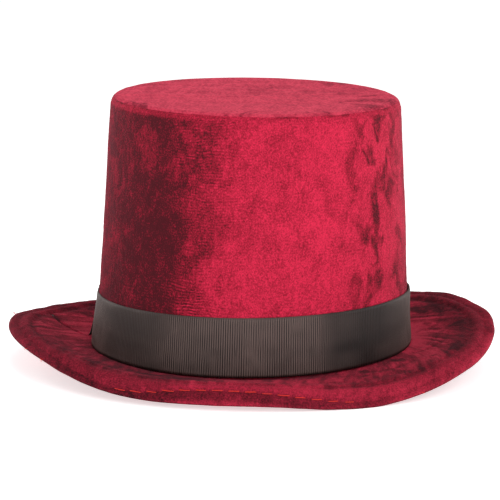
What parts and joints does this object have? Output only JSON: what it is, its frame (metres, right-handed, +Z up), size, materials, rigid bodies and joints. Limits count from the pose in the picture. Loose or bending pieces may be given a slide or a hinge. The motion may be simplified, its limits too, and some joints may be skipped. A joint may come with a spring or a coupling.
{
  "type": "costume top hat",
  "caption": "Soft velvet top hat: tapered oval crown over stiff board, grosgrain ribbon band, unevenly curled stitched brim with an edge wire, lined inside.",
  "frame": {"origin": "on the table under the middle of the brim's outline, with the hat standing on its brim", "axes": "+Z up, -Y towards the front of the hat, +X towards the right seen from the front"},
  "size_m": [0.2952, 0.307, 0.1634],
  "materials": {
    "velvet": "crushed velvet, crimson",
    "board": "plain dark board",
    "ribbon": "charcoal grosgrain",
    "lining": "black satin lining",
    "sweatband": "black twill tape",
    "thread": "orange-red sewing thread",
    "wire": "plain steel wire",
    "label": "blank white satin label"
  },
  "bodies": {
    "root": {"crown_side_velvet": "velvet", "crown_tip_velvet": "velvet", "crown_side_board": "board", "crown_tip_board": "board", "tip_seam_stitching": "thread", "tip_lining": "lining", "side_lining": "lining", "sweatband": "sweatband", "opening_stitching": "thread", "care_label": "label", "brim_upper_velvet": "velvet", "brim_lower_velvet": "velvet", "brim_board": "board", "brim_wire": "wire", "hem_stitching_upper": "thread", "hem_stitching_lower": "thread", "edge_stitching_upper": "thread", "edge_stitching_lower": "thread", "hat_band": "ribbon", "band_tab": "ribbon"}
  },
  "joints": []
}
